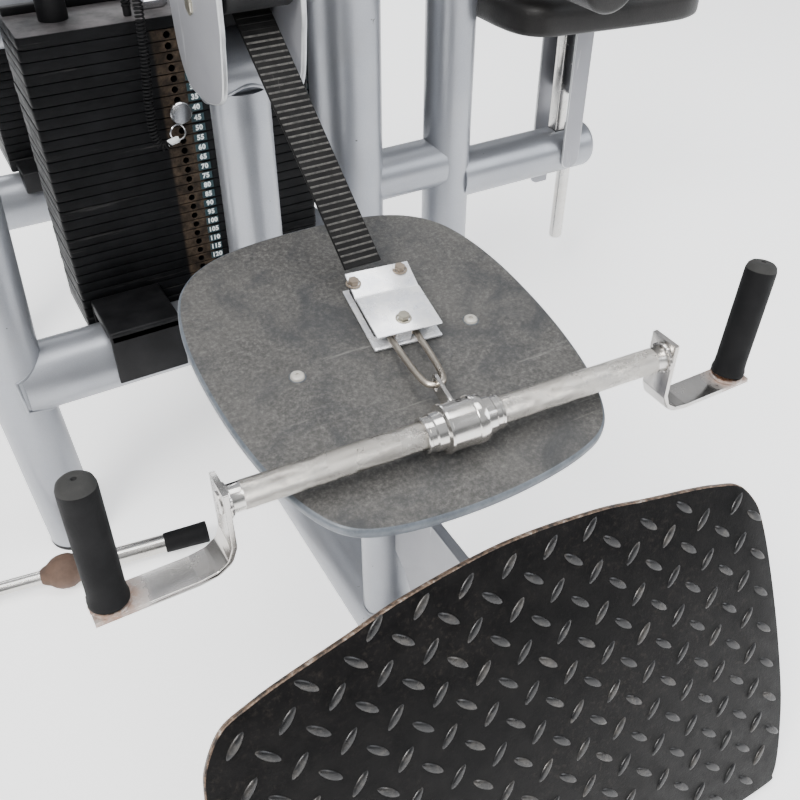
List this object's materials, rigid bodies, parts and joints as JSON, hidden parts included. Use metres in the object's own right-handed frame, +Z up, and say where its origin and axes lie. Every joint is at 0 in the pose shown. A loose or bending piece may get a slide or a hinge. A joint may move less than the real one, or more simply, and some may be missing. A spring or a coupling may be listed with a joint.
{
  "type": "four-station multi-gym",
  "caption": "Free-standing multi-gym: welded tube frame with weight stacks, belt row station, lat pulldown seat, high pulley and dip station",
  "frame": {"origin": "middle of the bounding box's footprint, on the floor", "axes": "+Z up; -Y is the row station's side, with its foot plate and handle; +X the lat pulldown seat; -X the high pulley bar; +Y the dip station"},
  "size_m": [1.525, 2.3196, 2.145],
  "materials": {
    "silver_paint": "satin silver-blue paint",
    "black_paint": "satin black paint",
    "worn_chrome": "worn chrome plate with rust tint",
    "bright_steel": "bright steel",
    "black_rubber": "black rubber",
    "black_iron": "black painted iron",
    "black_vinyl": "black upholstery vinyl over foam",
    "worn_plate": "worn grey-brown textured coating",
    "tread_plate": "black painted lozenge tread plate",
    "ribbed_belt": "ribbed rubber belt",
    "grey_plastic": "dark grey nylon"
  },
  "bodies": {
    "frame": {"floor_spine": "silver_paint", "row_leg": "silver_paint", "left_front_upright": "silver_paint", "left_rear_upright": "silver_paint", "core_beams": "silver_paint", "core_brace": "silver_paint", "centre_column": "silver_paint", "right_upright": "silver_paint", "arm_link": "silver_paint", "seat_arm": "silver_paint", "upper_frame": "silver_paint", "row_head": "silver_paint", "foot_plate": "tread_plate", "foot_plate_gusset": "silver_paint", "seat_plate": "worn_plate", "seat_pedestal": "silver_paint", "seat_screw_left": "bright_steel", "seat_screw_right": "bright_steel", "front_guide_frame": "black_paint", "front_lower_plates": "black_iron", "left_guide_frame": "black_paint", "left_lower_plates": "black_iron", "lat_guide_frame": "black_paint", "lat_lower_plates": "black_iron", "left_foot_bar": "worn_chrome", "dip_frame": "silver_paint", "back_pad": "black_vinyl", "row_belt_free": "ribbed_belt", "row_belt_stack": "ribbed_belt", "lat_belt": "ribbed_belt", "left_belt": "ribbed_belt"},
    "row_clamp": {"belt_clamp": "worn_chrome"},
    "row_link": {"row_link": "worn_chrome"},
    "row_swivel": {"row_swivel": "worn_chrome"},
    "row_handle": {"row_bar": "worn_chrome", "end_bracket_left": "worn_chrome", "end_bracket_right": "worn_chrome", "grip_left": "black_rubber", "grip_right": "black_rubber"},
    "front_lift": {"front_lifted_plates": "black_iron", "front_stem": "bright_steel", "front_lanyard": "black_rubber"},
    "front_pin": {"front_selector_pin": "bright_steel"},
    "guide_roller_main": {"guide_roller_main": "black_rubber"},
    "guide_roller_lower": {"guide_roller_lower": "black_rubber"},
    "row_pulley": {"row_pulley": "grey_plastic"},
    "left_lift": {"left_lifted_plates": "black_iron"},
    "left_pull_bar": {"left_bar": "worn_chrome"},
    "left_pulley_inner": {"left_pulley_inner": "grey_plastic"},
    "left_pulley_outer": {"left_pulley_outer": "grey_plastic"},
    "lat_lift": {"lat_lifted_plates": "black_iron"},
    "lat_pull_bar": {"lat_bar": "worn_chrome"},
    "lat_pulley_inner": {"lat_pulley_inner": "grey_plastic"},
    "lat_pulley_outer": {"lat_pulley_outer": "grey_plastic"},
    "seat": {"seat_stem": "silver_paint", "seat_rails": "silver_paint", "seat_pad": "black_vinyl"},
    "thigh_post": {"roller_bar": "worn_chrome"},
    "thigh_rollers_front": {"thigh_roller_front": "black_vinyl"},
    "thigh_rollers_rear": {"thigh_roller_rear": "black_vinyl"}
  },
  "joints": [
    {"name": "front_stack_lift", "type": "slide", "parent": "frame", "child": "front_lift", "axis": [0, 0, 1], "range_m": [0, 0.78], "deforming": ["row_belt_stack"]},
    {"name": "row_pull", "type": "slide", "parent": "frame", "child": "row_clamp", "axis": [0, -0.9578, 0.2873], "range_m": [0, 0.905], "deforming": ["row_belt_free"]},
    {"name": "row_link_swing", "type": "hinge", "parent": "row_clamp", "child": "row_link", "pos_m": [-0.10546, -0.77218, 0.49366], "axis": [-0.9925, 0.1219, 0], "range_deg": [0, 20]},
    {"name": "row_swivel_turn", "type": "hinge", "parent": "row_link", "child": "row_swivel", "pos_m": [-0.11655, -0.85636, 0.49244], "axis": [0, 0, 1], "range_deg": [-8, 8]},
    {"name": "row_bar_spin", "type": "hinge", "parent": "row_swivel", "child": "row_handle", "pos_m": [-0.1275, -0.9142, 0.493], "axis": [0.9986, -0.0534, -0.0046], "range_deg": [-90, 90]},
    {"name": "front_pin_draw", "type": "slide", "parent": "front_lift", "child": "front_pin", "axis": [0, -1, 0], "range_m": [0, 0.07]},
    {"name": "main_roller_turn", "type": "hinge", "parent": "frame", "child": "guide_roller_main", "pos_m": [-0.1225, -0.4932, 0.7633], "axis": [1, 0, 0], "continuous": true},
    {"name": "lower_roller_turn", "type": "hinge", "parent": "frame", "child": "guide_roller_lower", "pos_m": [-0.1225, -0.4332, 0.7265], "axis": [1, 0, 0], "continuous": true},
    {"name": "row_pulley_turn", "type": "hinge", "parent": "frame", "child": "row_pulley", "pos_m": [-0.146, -0.3647, 1.94], "axis": [-0.9704, -0.2413, 0], "continuous": true},
    {"name": "left_stack_lift", "type": "slide", "parent": "frame", "child": "left_lift", "axis": [0, 0, 1], "range_m": [0, 0.95], "deforming": ["left_belt"]},
    {"name": "left_pull", "type": "slide", "parent": "frame", "child": "left_pull_bar", "axis": [0, 0, -1], "range_m": [0, 0.95]},
    {"name": "left_inner_turn", "type": "hinge", "parent": "frame", "child": "left_pulley_inner", "pos_m": [-0.21311, 0.17531, 1.94], "axis": [0.5266, -0.8501, 0], "continuous": true},
    {"name": "left_outer_turn", "type": "hinge", "parent": "frame", "child": "left_pulley_outer", "pos_m": [-0.67489, -0.11071, 1.94], "axis": [0.5266, -0.8501, 0], "continuous": true},
    {"name": "lat_stack_lift", "type": "slide", "parent": "frame", "child": "lat_lift", "axis": [0, 0, 1], "range_m": [0, 0.95], "deforming": ["lat_belt"]},
    {"name": "lat_pull", "type": "slide", "parent": "frame", "child": "lat_pull_bar", "axis": [0, 0, -1], "range_m": [0, 0.95]},
    {"name": "lat_inner_turn", "type": "hinge", "parent": "frame", "child": "lat_pulley_inner", "pos_m": [0.141, -0.00524, 1.94], "axis": [0.2954, 0.9554, 0], "continuous": true},
    {"name": "lat_outer_turn", "type": "hinge", "parent": "frame", "child": "lat_pulley_outer", "pos_m": [0.524, -0.12366, 1.94], "axis": [0.2954, 0.9554, 0], "continuous": true},
    {"name": "seat_height", "type": "slide", "parent": "frame", "child": "seat", "axis": [0, 0, 1], "range_m": [-0.05, 0.012]},
    {"name": "thigh_height", "type": "slide", "parent": "frame", "child": "thigh_post", "axis": [0, 0, 1], "range_m": [0, 0.05]},
    {"name": "front_roller_turn", "type": "hinge", "parent": "thigh_post", "child": "thigh_rollers_front", "pos_m": [0.4385, -0.2862, 0.666], "axis": [0, 1, 0], "continuous": true},
    {"name": "rear_roller_turn", "type": "hinge", "parent": "thigh_post", "child": "thigh_rollers_rear", "pos_m": [0.4385, 0.0058, 0.666], "axis": [0, 1, 0], "continuous": true}
  ],
  "couplings": [
    {"joint": "row_pull", "follows": "front_stack_lift", "ratio": 1.1538},
    {"joint": "main_roller_turn", "follows": "front_stack_lift", "rad_per_m": -29.24},
    {"joint": "row_pulley_turn", "follows": "front_stack_lift", "rad_per_m": -10.269},
    {"joint": "left_pull", "follows": "left_stack_lift", "ratio": 1},
    {"joint": "left_inner_turn", "follows": "left_stack_lift", "rad_per_m": 17.857},
    {"joint": "left_outer_turn", "follows": "left_stack_lift", "rad_per_m": 17.857},
    {"joint": "lat_pull", "follows": "lat_stack_lift", "ratio": 1},
    {"joint": "lat_inner_turn", "follows": "lat_stack_lift", "rad_per_m": 17.857},
    {"joint": "lat_outer_turn", "follows": "lat_stack_lift", "rad_per_m": 17.857}
  ]
}
